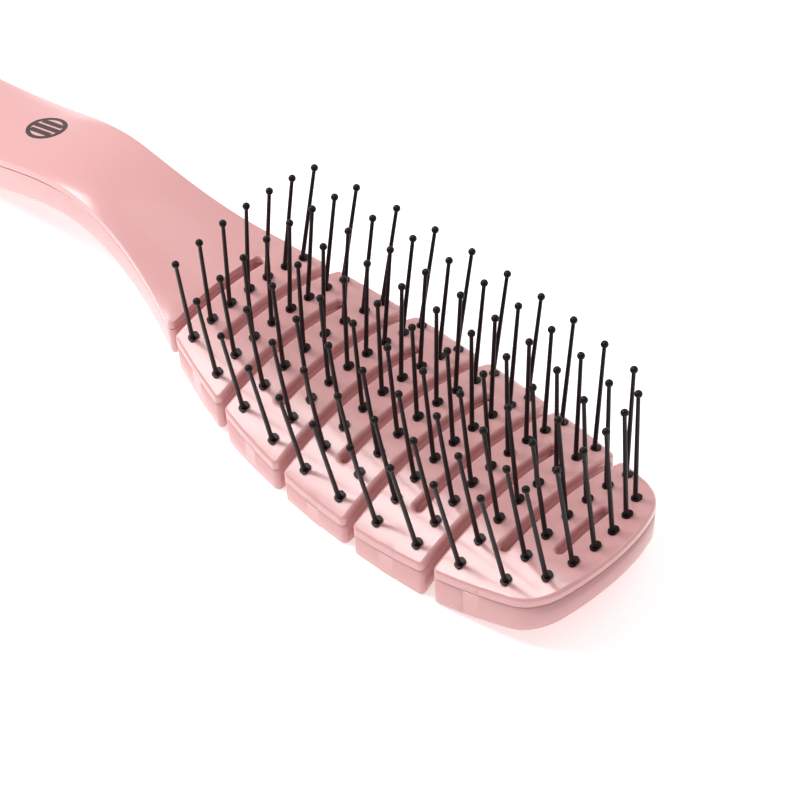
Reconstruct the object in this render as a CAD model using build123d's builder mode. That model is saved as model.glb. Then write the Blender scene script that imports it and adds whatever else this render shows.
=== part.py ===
"""Flexible vented hair brush: a curved handle and a head of hinged cross slats with ball-tipped pins.

Millimetres, +Z up, pins up.  The brush lies on its back on the plane Z = 0.  X runs from the
butt of the handle (-X) to the tip of the head (+X) and Y runs across.  The origin is the middle
of the bounding box, on the plane that the brush lies on.
"""
import os
from math import asin, cos, degrees, radians, sin, sqrt

from build123d import *

# ---- plan shape, seen from above; S values are X distances from the middle of the head ----
HEAD_HALF_WIDTH = 24.2
HEAD_WIDEST_S = 3.0
HEAD_SIDE_RADIUS = 172.0
TIP_S = 55.6
TIP_BULGE = 5.0
TIP_CORNER_RADIUS = 11.0
NECK_START_S = -53.0
NECK_PLAN_RADIUS = 90.0
GRIP_FLARE_DEG = 1.5
BUTT_S = -192.4
BUTT_BULGE = 5.0
BUTT_CORNER_RADIUS = 8.0

# ---- side shape: the line along the middle of the face ----
HEAD_LENGTH_RADIUS = 400.0
NECK_RISE_RADIUS = 110.0
NECK_RISE_DEG = 18.0
HUMP_RADIUS = 60.0
HUMP_FALL_DEG = 26.0
REST_CUT = 0.7
GRIP_REST_CUT = 0.1

# ---- cross section ----
ARCH_RADIUS = 50.0
BODY_DEPTH = 8.2
FACE_THICKNESS = 1.8
SEAM_HEIGHT = 0.35
SEAM_INSET = 0.35
WALL = 1.4
FLOOR = 1.6
TOP_EDGE_RADIUS = 0.7

# ---- slits and webs ----
SLAT_COUNT = 9
ROW_PITCH = 9.5
SLIT_WIDTH = 2.0
SLIT_END_RADIUS = 0.8
SLIT_MOUTH_RADIUS = 1.2
WEB_LENGTH = 8.5
WEB_SHOULDER = 0.6
TIP_SLOT_LENGTH = 14.0
TIP_SLOT_WIDTH = 1.8
TIP_SLOT_GAP = 4.0

# ---- pins ----
PINS_PER_ROW = (7, 8, 8, 9, 9, 9, 9, 9, 8, 7)
PIN_EDGE_MARGIN = 2.8
PIN_HEIGHT = 25.9
PIN_FAN_DEG_PER_MM = 0.465
PIN_ROOT_RADIUS = 0.48
PIN_TOP_RADIUS = 0.38
BALL_RADIUS = 0.76
FOOT_LENGTH = 2.4
FOOT_WIDTH = 1.7
FOOT_HEIGHT = 0.5
FOOT_OFFSET = 0.35
STEM_RADIUS = 0.5
STEM_CLEARANCE = 0.05
ANCHOR_RADIUS = 0.9
ANCHOR_THICKNESS = 0.8
SEAT_GAP = 0.02
TIP_ROW_COUNT = 6
TIP_ROW_RADIUS = 26.0
TIP_ROW_SPACING = 4.9
TIP_ROW_EDGE_MARGIN = 3.8

# ---- snap pegs that hold the handle's two shells together ----
PEG_FRACTIONS = (0.18, 0.5, 0.82)
PEG_RADIUS = 1.5
PEG_CLEARANCE = 0.05
SOCKET_WALL = 1.5

# ---- worked out from the sizes above ----
CENTRE_SHIFT = (TIP_S + BUTT_S) / 2
SLIT_COUNT = SLAT_COUNT + 1
ROW_S = [(i - SLAT_COUNT / 2) * ROW_PITCH for i in range(SLAT_COUNT + 1)]
SLIT_S = [s - ROW_PITCH / 2 for s in ROW_S]
TIP_SLOT_S = ROW_S[-1] + TIP_SLOT_GAP
SIDE_END_S = TIP_S - TIP_BULGE
THROUGH = 200.0
SECTION_HALF_ANGLE = radians(40)
NEAR = 0.01
BEYOND_END = 1.0


def arch_drop(y):
    """How far the face lies below its own middle line, at Y."""
    return ARCH_RADIUS - sqrt(ARCH_RADIUS**2 - y**2)


def half_width(s):
    """Half the head's width at S, on its long side arc."""
    return HEAD_HALF_WIDTH - HEAD_SIDE_RADIUS + sqrt(HEAD_SIDE_RADIUS**2 - (s - HEAD_WIDEST_S) ** 2)


def x_at(s):
    """X in the part's frame of a distance from the middle of the head."""
    return s - CENTRE_SHIFT


FACE_Z = arch_drop(HEAD_HALF_WIDTH) + BODY_DEPTH - REST_CUT
SLOPE_AT_NECK = degrees(asin(-SLIT_S[0] / HEAD_LENGTH_RADIUS))
GRIP_FACE_Z = BODY_DEPTH - GRIP_REST_CUT


def face_plane(s, y, tilt_deg):
    """Plane on the head's face at S and Y, turned by tilt_deg from upright towards its own side."""
    angle = s / HEAD_LENGTH_RADIUS
    reach = HEAD_LENGTH_RADIUS + arch_drop(y)
    tilt = radians(tilt_deg)
    return Plane(
        origin=(x_at(reach * sin(angle)), y, FACE_Z + HEAD_LENGTH_RADIUS - reach * cos(angle)),
        x_dir=(cos(angle), 0, sin(angle)),
        z_dir=(-cos(tilt) * sin(angle), sin(tilt), cos(tilt) * cos(angle)),
    )


# ---- the middle line of the face ----
def spine_start(s):
    """Point and backward direction of the face's middle line at S, in X and Z."""
    angle = s / HEAD_LENGTH_RADIUS
    point = (x_at(HEAD_LENGTH_RADIUS * sin(angle)), FACE_Z + HEAD_LENGTH_RADIUS * (1 - cos(angle)))
    return point, (-cos(angle), -sin(angle))


HEAD_SPINE_START_S = TIP_S + ROW_PITCH
HANDLE_SPINE_START_S = ROW_S[0]

with BuildLine(Plane.XZ) as head_spine:
    start, heading = spine_start(HEAD_SPINE_START_S)
    head_turn = degrees((HEAD_SPINE_START_S - SLIT_S[0] + ROW_PITCH) / HEAD_LENGTH_RADIUS)
    JernArc(start, heading, HEAD_LENGTH_RADIUS, -head_turn)


def along_arc(point, slope_from, slope_to, radius):
    """Where an arc ends, going backwards from a point, between two slopes in degrees."""
    bend = radius if slope_to > slope_from else -radius
    low, high = radians(slope_from), radians(slope_to)
    return (point[0] - bend * (sin(high) - sin(low)), point[1] + bend * (cos(low) - cos(high)))


lead_start, lead_heading = spine_start(HANDLE_SPINE_START_S)
neck_start = spine_start(SLIT_S[0])[0]
hump_start = along_arc(neck_start, SLOPE_AT_NECK, NECK_RISE_DEG, NECK_RISE_RADIUS)
hump_top = along_arc(hump_start, NECK_RISE_DEG, 0, HUMP_RADIUS)
hump_end = along_arc(hump_top, 0, -HUMP_FALL_DEG, HUMP_RADIUS)
grip_radius = (hump_end[1] - GRIP_FACE_Z) / (1 - cos(radians(HUMP_FALL_DEG)))
grip_level = along_arc(hump_end, -HUMP_FALL_DEG, 0, grip_radius)
with BuildLine(Plane.XZ) as handle_spine:
    Spline(
        lead_start,
        neck_start,
        hump_start,
        hump_top,
        hump_end,
        grip_level,
        (x_at(BUTT_S) - ROW_PITCH, GRIP_FACE_Z),
        tangents=(lead_heading, (-1, 0)),
    )

def section_point(depth, angle):
    """Point of the cross section at a depth below the face and an angle round the arch."""
    radius = ARCH_RADIUS - depth
    return (radius * sin(angle), ARCH_RADIUS - radius * cos(angle))


def band(line, start_s, top, bottom):
    """Everything between two depths below the face, along a spine that starts at start_s."""
    (x, z), (heading_x, heading_z) = spine_start(start_s)
    with BuildPart() as swept:
        with BuildSketch(Plane(origin=(x, 0, z), x_dir=(0, 1, 0), z_dir=(heading_x, 0, heading_z))):
            with BuildLine():
                upper = ThreePointArc(
                    section_point(top, -SECTION_HALF_ANGLE),
                    section_point(top, 0),
                    section_point(top, SECTION_HALF_ANGLE),
                )
                lower = ThreePointArc(
                    section_point(bottom, -SECTION_HALF_ANGLE),
                    section_point(bottom, 0),
                    section_point(bottom, SECTION_HALF_ANGLE),
                )
                Line(upper @ 0, lower @ 0)
                Line(upper @ 1, lower @ 1)
            make_face()
        sweep(path=line.wires()[0])
    return swept.part


def save(part, name):
    """Write one finished piece as its own node."""
    part.label = name
    export_step(part, f"parts/{name}.step")


def slit_end_y(index):
    """Y of a slit's closed end; the slits open towards -Y and +Y in turn, the first towards -Y."""
    side = 1 if index % 2 == 0 else -1
    return side * (half_width(SLIT_S[index]) - WEB_LENGTH)


# ---- outline in plan ----
NECK_ANGLE = degrees(asin((HEAD_WIDEST_S - NECK_START_S) / HEAD_SIDE_RADIUS))
with BuildSketch() as outline:
    with BuildLine():
        side_arc = ThreePointArc(
            (x_at(SIDE_END_S), half_width(SIDE_END_S)),
            (x_at(HEAD_WIDEST_S), HEAD_HALF_WIDTH),
            (x_at(NECK_START_S), half_width(NECK_START_S)),
        )
        neck_plan_arc = JernArc(
            side_arc @ 1,
            (-cos(radians(NECK_ANGLE)), -sin(radians(NECK_ANGLE))),
            NECK_PLAN_RADIUS,
            -NECK_ANGLE - GRIP_FLARE_DEG,
        )
        grip_start = neck_plan_arc @ 1
        butt_corner_x = x_at(BUTT_S) + BUTT_BULGE
        butt_corner_y = grip_start.Y + (grip_start.X - butt_corner_x) * sin(radians(GRIP_FLARE_DEG))
        Line(grip_start, (butt_corner_x, butt_corner_y))
        mirror(about=Plane.XZ)
        ThreePointArc(
            (x_at(SIDE_END_S), half_width(SIDE_END_S)),
            (x_at(TIP_S), 0),
            (x_at(SIDE_END_S), -half_width(SIDE_END_S)),
        )
        ThreePointArc((butt_corner_x, butt_corner_y), (x_at(BUTT_S), 0), (butt_corner_x, -butt_corner_y))
    make_face()
    fillet(outline.vertices().group_by(Axis.X)[-1], TIP_CORNER_RADIUS)
    fillet(outline.vertices().group_by(Axis.X)[0], BUTT_CORNER_RADIUS)

# ---- the same outline with the slits and the tip slot cut in ----
with BuildSketch() as slit_cuts:
    for index, s in enumerate(SLIT_S):
        end_y = slit_end_y(index)
        mouth_y = -HEAD_HALF_WIDTH * 2 if end_y > 0 else HEAD_HALF_WIDTH * 2
        with Locations((x_at(s), (end_y + mouth_y) / 2)):
            Rectangle(SLIT_WIDTH, abs(end_y - mouth_y))
with BuildSketch() as serpentine:
    add(outline.sketch)
    add(slit_cuts.sketch, mode=Mode.SUBTRACT)
    with Locations((x_at(TIP_SLOT_S), 0)):
        SlotOverall(TIP_SLOT_LENGTH, TIP_SLOT_WIDTH, rotation=90, mode=Mode.SUBTRACT)
    end_corners = [
        vertex
        for index, s in enumerate(SLIT_S)
        for vertex in serpentine.vertices()
        if abs(abs(vertex.X - x_at(s)) - SLIT_WIDTH / 2) < NEAR and abs(vertex.Y - slit_end_y(index)) < NEAR
    ]
    fillet(end_corners, SLIT_END_RADIUS)
    mouth_corners = [
        vertex
        for index, s in enumerate(SLIT_S)
        for vertex in serpentine.vertices()
        if abs(abs(vertex.X - x_at(s)) - SLIT_WIDTH / 2) < NEAR
        and vertex.Y * slit_end_y(index) < 0
        and abs(vertex.Y) > half_width(s) - BEYOND_END
    ]
    fillet(mouth_corners, SLIT_MOUTH_RADIUS)


def web_plan(index):
    """Plan of the web that closes a slit: the slit's rounded end, its shoulders and all beyond them."""
    side = 1 if slit_end_y(index) > 0 else -1
    inner = abs(slit_end_y(index)) - SLIT_END_RADIUS
    outer = 2 * HEAD_HALF_WIDTH
    with BuildSketch() as plan:
        with Locations((x_at(SLIT_S[index]), side * (inner + outer) / 2)):
            Rectangle(SLIT_WIDTH + 2 * WEB_SHOULDER, outer - inner)
    return plan.sketch


def between_slits(first, last):
    """Plan from the middle of one slit to the middle of another, without their webs.

    first None starts at the butt, and last None ends at the tip.
    """
    low = BUTT_S - BEYOND_END if first is None else SLIT_S[first]
    high = TIP_S + BEYOND_END if last is None else SLIT_S[last]
    with BuildSketch() as plan:
        with Locations((x_at((low + high) / 2), 0)):
            Rectangle(high - low, THROUGH)
        for index in (first, last):
            if index is not None:
                add(web_plan(index), mode=Mode.SUBTRACT)
    return plan.sketch


def blank(whole, plan, region=None):
    """A solid cut to a plan shape, and to a region of it."""
    with BuildPart() as cut:
        add(whole)
        with BuildSketch():
            add(plan)
            if region is not None:
                add(region, mode=Mode.INTERSECT)
        extrude(amount=THROUGH, both=True, mode=Mode.INTERSECT)
    return cut.part


def top_rim(part, cut_x):
    """Edges round the top of a blank, apart from those where it was cut at cut_x."""
    tops = [face for face in part.faces() if face.normal_at(face.center()).Z > 0.5]
    rim = []
    for edge in part.edges():
        owners = sum(any(edge.is_same(other) for other in face.edges()) for face in tops)
        if owners == 1 and abs(edge.center().X - cut_x) > NEAR:
            rim.append(edge)
    return rim


# ---- cavities: one under each slat, one under the tip and one along the handle ----
with BuildSketch() as hollow_outline:
    add(outline.sketch)
    offset(amount=-WALL)
RIB_HALF_WIDTH = WALL + SLIT_WIDTH / 2
with BuildSketch() as hollows:
    add(hollow_outline.sketch)
    for s in SLIT_S:
        with Locations((x_at(s), 0)):
            Rectangle(2 * RIB_HALF_WIDTH, THROUGH, mode=Mode.SUBTRACT)
    with Locations((x_at(TIP_SLOT_S), 0)):
        SlotOverall(TIP_SLOT_LENGTH + 2 * WALL, TIP_SLOT_WIDTH + 2 * WALL, rotation=90, mode=Mode.SUBTRACT)
with BuildSketch() as seam_plan:
    add(serpentine.sketch)
    offset(amount=-SEAM_INSET)


def shell_bands(line, start_s):
    """The three layers of a rear shell: the body, the set-back lip at the seam, and the hollow."""
    body = band(line, start_s, FACE_THICKNESS + SEAM_HEIGHT, BODY_DEPTH)
    lip = band(line, start_s, FACE_THICKNESS, FACE_THICKNESS + SEAM_HEIGHT)
    hollow = band(line, start_s, FACE_THICKNESS / 2, BODY_DEPTH - FLOOR)
    return body, lip, hollow


def rear_shell(bands, region, hollowed=True):
    """Rear shell over a region, open upwards and cut flat where the brush rests."""
    body, lip, hollow = bands
    with BuildPart() as shell:
        add(blank(body, serpentine.sketch, region))
        add(blank(lip, seam_plan.sketch, region))
        if hollowed:
            add(blank(hollow, hollows.sketch, region), mode=Mode.SUBTRACT)
        with BuildSketch():
            Rectangle(2 * THROUGH, THROUGH)
        extrude(amount=THROUGH, mode=Mode.INTERSECT)
    return shell.part


def pin_rows():
    """The S and Y of every pin, row by row; the last row follows the curve of the tip."""
    rows = []
    for s, count in zip(ROW_S, PINS_PER_ROW):
        reach = half_width(s) - PIN_EDGE_MARGIN
        rows.append([(s, reach * (2 * k / (count - 1) - 1)) for k in range(count)])
    tip_ys = [(k - (TIP_ROW_COUNT - 1) / 2) * TIP_ROW_SPACING for k in range(TIP_ROW_COUNT)]
    tip_top = TIP_S - TIP_ROW_EDGE_MARGIN - TIP_ROW_RADIUS
    rows.append([(tip_top + sqrt(TIP_ROW_RADIUS**2 - y**2), y) for y in tip_ys])
    return rows


# ---- pin shaft with its ball tip, standing on its own axis ----
BALL_CENTRE = PIN_HEIGHT - BALL_RADIUS
with BuildPart() as shaft:
    Cone(
        PIN_ROOT_RADIUS,
        PIN_TOP_RADIUS,
        BALL_CENTRE - FOOT_HEIGHT / 2,
        align=(Align.CENTER, Align.CENTER, Align.MIN),
    )
    with Locations((0, 0, BALL_CENTRE - FOOT_HEIGHT / 2)):
        Sphere(BALL_RADIUS)

# ---- pin foot: an oval heel on the face, a stem through it and an anchor disc underneath ----
with BuildPart() as foot:
    with BuildSketch(Plane.XY.offset(SEAT_GAP)):
        with Locations((0, FOOT_OFFSET)):
            SlotOverall(FOOT_LENGTH, FOOT_WIDTH, rotation=90)
    extrude(amount=FOOT_HEIGHT - SEAT_GAP)
    with BuildSketch(Plane.XY.offset(-FACE_THICKNESS - SEAT_GAP)):
        Circle(STEM_RADIUS)
    extrude(amount=FACE_THICKNESS + 2 * SEAT_GAP)
    with BuildSketch(Plane.XY.offset(-FACE_THICKNESS - SEAT_GAP)):
        Circle(ANCHOR_RADIUS)
    extrude(amount=-ANCHOR_THICKNESS)


def pin_row(places):
    """One row of pins, each a shaft leaning outwards from a foot that sits square on the face."""
    with BuildPart() as row:
        for s, y in places:
            with BuildPart(mode=Mode.PRIVATE) as pin:
                square = degrees(asin(y / ARCH_RADIUS))
                with Locations(face_plane(s, y, square).location):
                    add(foot.part)
                lean = face_plane(s, y, PIN_FAN_DEG_PER_MM * y)
                with Locations(lean.offset(FOOT_HEIGHT / 2).location):
                    add(shaft.part)
            add(pin.part)
    return row.part


def drilled(face, places):
    """A face piece with a hole for each pin's stem."""
    with BuildPart() as result:
        add(face)
        for s, y in places:
            with Locations(face_plane(s, y, degrees(asin(y / ARCH_RADIUS))).location):
                Cylinder(STEM_RADIUS + STEM_CLEARANCE, 3 * FACE_THICKNESS, mode=Mode.SUBTRACT)
    return result.part


os.makedirs("parts", exist_ok=True)
rows = pin_rows()

# ---- the head's face in one piece, with its rounded top edge; the pieces are cut from it ----
HEAD_START_S = SLIT_S[0] - ROW_PITCH / 2
HEAD_STOP_S = TIP_S + BEYOND_END
with BuildSketch() as head_plan:
    add(serpentine.sketch)
    with Locations((x_at((HEAD_START_S + HEAD_STOP_S) / 2), 0)):
        Rectangle(HEAD_STOP_S - HEAD_START_S, THROUGH, mode=Mode.INTERSECT)
with BuildPart() as head_face:
    add(blank(band(head_spine, HEAD_SPINE_START_S, 0, FACE_THICKNESS), head_plan.sketch))
    fillet(top_rim(head_face, x_at(HEAD_START_S)), TOP_EDGE_RADIUS)
head_bands = shell_bands(head_spine, HEAD_SPINE_START_S)

# ---- handle: front cover with snap pegs, rear shell with their sockets ----
handle_plan = between_slits(None, 0)
handle_length = SLIT_S[0] - BUTT_S
peg_spots = [(x_at(BUTT_S + fraction * handle_length), 0) for fraction in PEG_FRACTIONS]
with BuildSketch() as peg_plan:
    with Locations(*peg_spots):
        Circle(PEG_RADIUS)
with BuildSketch() as socket_plan:
    with Locations(*peg_spots):
        Circle(PEG_RADIUS + PEG_CLEARANCE + SOCKET_WALL)
        Circle(PEG_RADIUS + PEG_CLEARANCE, mode=Mode.SUBTRACT)
cover_band = band(handle_spine, HANDLE_SPINE_START_S, 0, FACE_THICKNESS)
peg_band = band(handle_spine, HANDLE_SPINE_START_S, FACE_THICKNESS / 2, BODY_DEPTH - FLOOR - PEG_CLEARANCE)
socket_band = band(handle_spine, HANDLE_SPINE_START_S, FACE_THICKNESS, BODY_DEPTH - FLOOR / 2)
with BuildPart() as handle_cover:
    add(blank(cover_band, serpentine.sketch, handle_plan))
    add(blank(peg_band, peg_plan.sketch))
with BuildPart() as handle_shell:
    add(rear_shell(shell_bands(handle_spine, HANDLE_SPINE_START_S), handle_plan))
    add(blank(socket_band, socket_plan.sketch))
save(handle_cover.part, "handle_cover")
save(handle_shell.part, "handle_shell")

# ---- slats: face, tray and pins, between each two slits ----
for index in range(SLAT_COUNT):
    slat_plan = between_slits(index, index + 1)
    save(drilled(blank(head_face.part, slat_plan), rows[index]), f"slat_face_{index + 1}")
    save(rear_shell(head_bands, slat_plan), f"slat_tray_{index + 1}")
    save(pin_row(rows[index]), f"pins_{index + 1}")

# ---- tip block ----
tip_plan = between_slits(SLAT_COUNT, None)
save(drilled(blank(head_face.part, tip_plan), rows[-2] + rows[-1]), "tip_face")
save(rear_shell(head_bands, tip_plan), "tip_tray")
save(pin_row(rows[-2]), f"pins_{SLAT_COUNT + 1}")
save(pin_row(rows[-1]), "pins_tip")

# ---- webs: the necks of the flat spring that close each slit at one end ----
for index in range(SLIT_COUNT):
    with BuildPart() as web:
        add(blank(head_face.part, web_plan(index)))
        add(rear_shell(head_bands, web_plan(index), hollowed=False))
    save(web.part, f"web_{index + 1}")
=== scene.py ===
"""Looks for the flexible vented hair brush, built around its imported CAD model.  Metres, +Z up."""
from math import cos, radians, sin

import bmesh
import bpy
from mathutils import Matrix, Vector
from mathutils.bvhtree import BVHTree


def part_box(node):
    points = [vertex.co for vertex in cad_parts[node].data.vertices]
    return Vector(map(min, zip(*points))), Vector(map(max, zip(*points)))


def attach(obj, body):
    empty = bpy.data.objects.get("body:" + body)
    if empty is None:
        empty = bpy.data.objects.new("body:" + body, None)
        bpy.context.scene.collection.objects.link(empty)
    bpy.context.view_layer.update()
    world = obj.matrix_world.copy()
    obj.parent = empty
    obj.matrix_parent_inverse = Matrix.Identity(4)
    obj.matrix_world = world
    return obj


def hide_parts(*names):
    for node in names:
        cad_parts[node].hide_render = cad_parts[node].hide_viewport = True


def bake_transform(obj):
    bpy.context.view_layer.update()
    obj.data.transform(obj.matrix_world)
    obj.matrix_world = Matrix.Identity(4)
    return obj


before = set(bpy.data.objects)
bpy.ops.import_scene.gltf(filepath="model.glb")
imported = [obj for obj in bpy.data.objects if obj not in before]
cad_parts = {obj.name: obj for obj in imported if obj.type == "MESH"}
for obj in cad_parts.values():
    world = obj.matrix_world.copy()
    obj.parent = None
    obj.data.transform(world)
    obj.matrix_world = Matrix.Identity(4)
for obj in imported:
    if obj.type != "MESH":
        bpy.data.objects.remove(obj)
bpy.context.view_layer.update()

MM = 0.001
SLAT_COUNT = 9
BODY_ORDER = ["handle"] + [f"slat_{n}" for n in range(1, SLAT_COUNT + 1)] + ["tip"]

# ---- sizes of the softened edges, the printed mark and the gap to the floor ----
COVER_EDGE = 0.75 * MM
GROOVE_EDGE = 0.6 * MM
BACK_EDGE = 1.0 * MM
HANDLE_BACK_EDGE = 2.2 * MM
EDGE_SEGMENTS = 4
SHARP_ANGLE = radians(38)
MERGE_DISTANCE = 0.002 * MM
FLAT_ANGLE = radians(0.3)
WALL_LIFT = 0.3
FACE_LIFT = 0.5
TOUCH = 0.02 * MM
MARK_FROM_SLIT = 60 * MM
MARK_SIDE = 1.8 * MM
MARK_LENGTH = 11 * MM
MARK_WIDTH = 8.4 * MM
MARK_RING = 0.78
MARK_BARS = (-0.42, 0.0, 0.42)
MARK_BAR_WIDTH = 0.3
INK_THICKNESS = 0.02 * MM
FLOOR_GAP = 0.1 * MM


# ------------------------------------------------------------------ materials
def new_material(name, color, roughness, coat=0.0):
    """A Principled material with the settings that are the same all over set on its own sockets."""
    material = bpy.data.materials.new(name)
    material.use_nodes = True
    shader = material.node_tree.nodes["Principled BSDF"]
    shader.inputs["Base Color"].default_value = (*color, 1)
    shader.inputs["Roughness"].default_value = roughness
    shader.inputs["Coat Weight"].default_value = coat
    shader.inputs["Coat Roughness"].default_value = 0.12
    return material, shader


def object_noise(tree, scale, detail=2.0):
    """Noise on the piece's own coordinates."""
    place = tree.nodes.new("ShaderNodeTexCoord")
    noise = tree.nodes.new("ShaderNodeTexNoise")
    noise.inputs["Scale"].default_value = scale
    noise.inputs["Detail"].default_value = detail
    tree.links.new(place.outputs["Object"], noise.inputs["Vector"])
    return noise


def moulded_plastic(name, color, deep_color, roughness):
    """Glossy moulded plastic: soft colour drift from the pigment, faint flow ripple and light scuffs."""
    material, shader = new_material(name, color, roughness, coat=0.35)
    tree = material.node_tree
    shader.inputs["Subsurface Weight"].default_value = 0.1
    shader.inputs["Subsurface Radius"].default_value = (1.0, 0.35, 0.3)
    shader.inputs["Subsurface Scale"].default_value = 1.0 * MM
    drift = object_noise(tree, 28)
    pigment = tree.nodes.new("ShaderNodeMix")
    pigment.data_type = "RGBA"
    pigment.inputs["A"].default_value = (*color, 1)
    pigment.inputs["B"].default_value = (*deep_color, 1)
    tree.links.new(drift.outputs["Fac"], pigment.inputs["Factor"])
    tree.links.new(pigment.outputs["Result"], shader.inputs["Base Color"])
    scuffs = object_noise(tree, 260, 3)
    spread = tree.nodes.new("ShaderNodeMapRange")
    spread.inputs["To Min"].default_value = roughness - 0.03
    spread.inputs["To Max"].default_value = roughness + 0.03
    tree.links.new(scuffs.outputs["Fac"], spread.inputs["Value"])
    tree.links.new(spread.outputs["Result"], shader.inputs["Roughness"])
    ripple = object_noise(tree, 160, 3)
    bump = tree.nodes.new("ShaderNodeBump")
    bump.inputs["Strength"].default_value = 0.02
    bump.inputs["Distance"].default_value = 0.0002
    tree.links.new(ripple.outputs["Fac"], bump.inputs["Height"])
    tree.links.new(bump.outputs["Normal"], shader.inputs["Normal"])
    return material


def pin_nylon():
    """Black nylon with a warm cast, satin, slightly duller where it has rubbed."""
    material, shader = new_material("pin_nylon", (0.006, 0.002, 0.0025), 0.42)
    shader.inputs["Specular IOR Level"].default_value = 0.22
    tree = material.node_tree
    rub = object_noise(tree, 700, 4)
    spread = tree.nodes.new("ShaderNodeMapRange")
    spread.inputs["To Min"].default_value = 0.3
    spread.inputs["To Max"].default_value = 0.5
    tree.links.new(rub.outputs["Fac"], spread.inputs["Value"])
    tree.links.new(spread.outputs["Result"], shader.inputs["Roughness"])
    return material


def printed_ink():
    """Thin dark ink, a little uneven."""
    material, shader = new_material("printed_ink", (0.03, 0.01, 0.014), 0.5)
    tree = material.node_tree
    patch = object_noise(tree, 2500, 4)
    mix = tree.nodes.new("ShaderNodeMix")
    mix.data_type = "RGBA"
    mix.inputs["A"].default_value = (0.02, 0.008, 0.01, 1)
    mix.inputs["B"].default_value = (0.07, 0.03, 0.035, 1)
    tree.links.new(patch.outputs["Fac"], mix.inputs["Factor"])
    tree.links.new(mix.outputs["Result"], shader.inputs["Base Color"])
    return material


def dress(piece, material):
    """Give a piece one material."""
    piece.data.materials.clear()
    piece.data.materials.append(material)


# ------------------------------------------------------------------ pieces
def copy_of(node, name):
    """A merged copy of a CAD node's mesh as a new object at the origin."""
    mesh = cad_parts[node].data.copy()
    mesh.name = name
    piece = bpy.data.objects.new(name, mesh)
    bpy.context.scene.collection.objects.link(piece)
    bm = bmesh.new()
    bm.from_mesh(mesh)
    bmesh.ops.remove_doubles(bm, verts=bm.verts, dist=MERGE_DISTANCE)
    bmesh.ops.dissolve_limit(bm, angle_limit=FLAT_ANGLE, verts=bm.verts, edges=bm.edges)
    bm.to_mesh(mesh)
    bm.free()
    return piece


def soften(piece, width, picks):
    """Bevel the edges that picks() chooses, but none where the piece meets a web."""
    webs = [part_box(f"web_{n}") for n in range(1, SLAT_COUNT + 2)]
    bm = bmesh.new()
    bm.from_mesh(piece.data)
    bm.normal_update()
    chosen = []
    for edge in bm.edges:
        if len(edge.link_faces) == 2 and picks(edge):
            middle = (edge.verts[0].co + edge.verts[1].co) / 2
            if not any(inside(middle, box) for box in webs):
                chosen.append(edge)
    bmesh.ops.bevel(
        bm,
        geom=chosen,
        offset=width,
        offset_type="OFFSET",
        affect="EDGES",
        segments=EDGE_SEGMENTS,
        profile=0.5,
        material=-1,
        clamp_overlap=True,
    )
    bm.to_mesh(piece.data)
    bm.free()


def inside(point, box):
    """Whether a point is inside a box or touches it."""
    low, high = box
    return all(low[axis] - TOUCH < point[axis] < high[axis] + TOUCH for axis in range(3))


def outer_corner(edge, way):
    """Whether an edge is an outside corner between a wall and a face that looks up (1) or down (-1)."""
    wall, flat = sorted(edge.link_faces, key=lambda face: abs(face.normal.z))
    if edge.calc_face_angle() < SHARP_ANGLE or abs(wall.normal.z) > WALL_LIFT:
        return False
    return flat.normal.z * way > FACE_LIFT and edge.is_convex


def top_edge(edge):
    """An edge between a piece's top and a side wall."""
    return outer_corner(edge, 1)


def bottom_edge(edge):
    """An edge between a piece's underside and a side wall."""
    return outer_corner(edge, -1)


def smooth(piece):
    """Smooth shading with the real corners kept sharp."""
    piece.data.shade_smooth()
    piece.data.set_sharp_from_angle(angle=SHARP_ANGLE)


def printed_mark(cover_tree, material):
    """A plain oval ring with three bars across it: a generic mark printed on the handle."""
    centre = Vector((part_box("handle_cover")[1].x - MARK_FROM_SLIT, MARK_SIDE, 0))
    bm = bmesh.new()
    rim = bmesh.ops.create_circle(bm, segments=64, radius=1.0, cap_ends=False)
    rim_edges = list({edge for vert in rim["verts"] for edge in vert.link_edges})
    inner = bmesh.ops.extrude_edge_only(bm, edges=rim_edges)
    inner_verts = [item for item in inner["geom"] if isinstance(item, bmesh.types.BMVert)]
    bmesh.ops.scale(bm, vec=(MARK_RING, MARK_RING, 1), verts=inner_verts)
    for offset in MARK_BARS:
        reach = (MARK_RING**2 - offset**2) ** 0.5
        bar = bmesh.ops.create_grid(bm, x_segments=12, y_segments=2, size=1.0)
        bmesh.ops.scale(bm, vec=(reach, MARK_BAR_WIDTH / 2, 1), verts=bar["verts"])
        bmesh.ops.translate(bm, vec=(0, offset, 0), verts=bar["verts"])
    bmesh.ops.scale(bm, vec=(MARK_LENGTH / 2, MARK_WIDTH / 2, 1), verts=bm.verts)
    bmesh.ops.translate(bm, vec=centre, verts=bm.verts)
    for vert in bm.verts:
        hit, normal, _, _ = cover_tree.ray_cast(Vector((vert.co.x, vert.co.y, 1)), Vector((0, 0, -1)))
        vert.co = hit + normal * INK_THICKNESS
    mesh = bpy.data.meshes.new("printed_mark")
    bmesh.ops.recalc_face_normals(bm, faces=bm.faces)
    bm.to_mesh(mesh)
    bm.free()
    mark = bpy.data.objects.new("printed_mark", mesh)
    bpy.context.scene.collection.objects.link(mark)
    dress(mark, material)
    smooth(mark)
    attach(mark, "handle")
    return mark


# ------------------------------------------------------------------ build
FACE_PINK = moulded_plastic("face_plastic", (0.73, 0.39, 0.38), (0.69, 0.345, 0.345), 0.24)
SHELL_PINK = moulded_plastic("shell_plastic", (0.73, 0.39, 0.38), (0.69, 0.345, 0.345), 0.26)
NYLON = pin_nylon()
INK = printed_ink()


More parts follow.
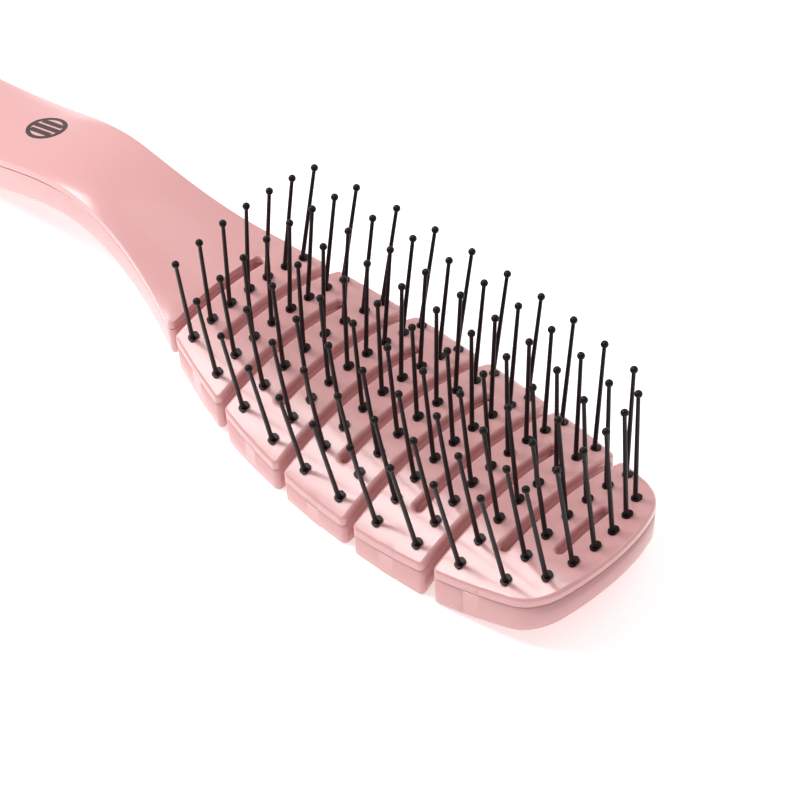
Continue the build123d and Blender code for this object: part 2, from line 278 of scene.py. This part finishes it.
def build_handle():
    """The cover and the rear shell of the handle, with softened edges."""
    cover = copy_of("handle_cover", "handle_front_cover")
    soften(cover, COVER_EDGE, top_edge)
    soften(cover, GROOVE_EDGE, bottom_edge)
    dress(cover, FACE_PINK)
    smooth(cover)
    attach(cover, "handle")
    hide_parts("handle_cover")
    shell = copy_of("handle_shell", "handle_rear_shell")
    soften(shell, HANDLE_BACK_EDGE, bottom_edge)
    soften(shell, GROOVE_EDGE, top_edge)
    dress(shell, SHELL_PINK)
    smooth(shell)
    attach(shell, "handle")
    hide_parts("handle_shell")
    tree = BVHTree.FromObject(cover, bpy.context.evaluated_depsgraph_get())
    mark = printed_mark(tree, INK)


def build_head():
    """The slats' faces keep their shape, and the rear trays get softened back edges."""
    for name in BODY_ORDER[1:]:
        kind, _, number = name.partition("_")
        suffix = f"_{number}" if number else ""
        face_node = f"{kind}_face{suffix}"
        tray_node = f"{kind}_tray{suffix}"
        dress(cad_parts[face_node], FACE_PINK)
        tray = copy_of(tray_node, f"{name}_rear_tray")
        soften(tray, BACK_EDGE, bottom_edge)
        dress(tray, SHELL_PINK)
        smooth(tray)
        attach(tray, name)
        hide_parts(tray_node)


def build_webs():
    """Each web is a smoothed copy of its CAD node in the face plastic, left unattached to either body.
    """
    for index in range(SLAT_COUNT + 1):
        node = f"web_{index + 1}"
        web = copy_of(node, f"flex_web_{index + 1}")
        dress(web, FACE_PINK)
        smooth(web)
        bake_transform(web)
        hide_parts(node)


def build_pins():
    """The pins keep their shape and get the black nylon."""
    for name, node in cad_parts.items():
        if name.startswith("pins_"):
            dress(node, NYLON)


# ------------------------------------------------------------------ studio
CAMERA_AZIMUTH = 46.6
CAMERA_ELEVATION = 48.6
CAMERA_ROLL = -2.9
CAMERA_DISTANCE = 0.4
CAMERA_LENS_MM = 93.1
FRAME_WIDTH_MM = 36.0
CAMERA_AIM_AHEAD = 0.1 * MM
CAMERA_AIM_SIDE = 1.1 * MM
CAMERA_NEAREST = 0.01
FLOOR_HALF_WIDTH = 3.0
FLOOR_GREY = 0.96
FLOOR_GLOW = 0.42
ROOM_BRIGHTNESS = 0.5
LEFT_LAMP_PLACE = (-0.55, -0.2, 0.8)
LEFT_LAMP_SIZE = 0.5
LEFT_LAMP_WATTS = 8.0
TOP_LAMP_PLACE = (0.2, 0.5, 0.9)
TOP_LAMP_SIZE = 0.9
TOP_LAMP_WATTS = 2.2


def camera_axes():
    """The camera's right, up and backward directions."""
    azimuth, elevation, roll = radians(CAMERA_AZIMUTH), radians(CAMERA_ELEVATION), radians(CAMERA_ROLL)
    back = Vector((sin(azimuth) * cos(elevation), -cos(azimuth) * cos(elevation), sin(elevation)))
    right = Vector((cos(azimuth), sin(azimuth), 0))
    up = back.cross(right)
    return cos(roll) * right + sin(roll) * up, cos(roll) * up - sin(roll) * right, back


def add_camera():
    """The camera, aimed at the middle of the head's face."""
    right, up, back = camera_axes()
    low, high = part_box("slat_face_5")
    target = Vector((high.x + CAMERA_AIM_AHEAD, CAMERA_AIM_SIDE, high.z))
    data = bpy.data.cameras.new("camera")
    data.lens = CAMERA_LENS_MM
    data.sensor_width = FRAME_WIDTH_MM
    data.clip_start = CAMERA_NEAREST
    camera = bpy.data.objects.new("camera", data)
    axes = Matrix((right, up, back)).transposed().to_4x4()
    camera.matrix_world = Matrix.Translation(target + back * CAMERA_DISTANCE) @ axes
    bpy.context.scene.collection.objects.link(camera)
    bpy.context.scene.camera = camera


def add_softbox(name, place, size, watts):
    """A square lamp that shines at the middle of the brush."""
    data = bpy.data.lights.new(name, "AREA")
    data.size = size
    data.energy = watts
    light = bpy.data.objects.new(name, data)
    light.location = place
    light.rotation_euler = (-Vector(place)).to_track_quat("-Z", "Y").to_euler()
    bpy.context.scene.collection.objects.link(light)


def add_floor():
    """A wide pale floor that the brush lies on."""
    bm = bmesh.new()
    bmesh.ops.create_grid(bm, x_segments=1, y_segments=1, size=FLOOR_HALF_WIDTH)
    bmesh.ops.translate(bm, vec=(0, 0, -FLOOR_GAP), verts=bm.verts)
    mesh = bpy.data.meshes.new("floor")
    bm.to_mesh(mesh)
    bm.free()
    floor = bpy.data.objects.new("floor", mesh)
    bpy.context.scene.collection.objects.link(floor)
    material, shader = new_material("floor_paint", (FLOOR_GREY, FLOOR_GREY, FLOOR_GREY), 0.9)
    shader.inputs["Emission Color"].default_value = (1, 1, 1, 1)
    shader.inputs["Emission Strength"].default_value = FLOOR_GLOW
    dress(floor, material)


def add_studio():
    """Soft white surroundings, a big softbox on the left and a weaker one overhead."""
    world = bpy.data.worlds.new("studio")
    world.use_nodes = True
    world.node_tree.nodes["Background"].inputs["Color"].default_value = (1, 1, 1, 1)
    world.node_tree.nodes["Background"].inputs["Strength"].default_value = ROOM_BRIGHTNESS
    bpy.context.scene.world = world
    bpy.context.scene.view_settings.view_transform = "Standard"
    add_softbox("softbox_left", LEFT_LAMP_PLACE, LEFT_LAMP_SIZE, LEFT_LAMP_WATTS)
    add_softbox("softbox_top", TOP_LAMP_PLACE, TOP_LAMP_SIZE, TOP_LAMP_WATTS)


build_handle()
build_head()
build_webs()
build_pins()
add_camera()
add_floor()
add_studio()
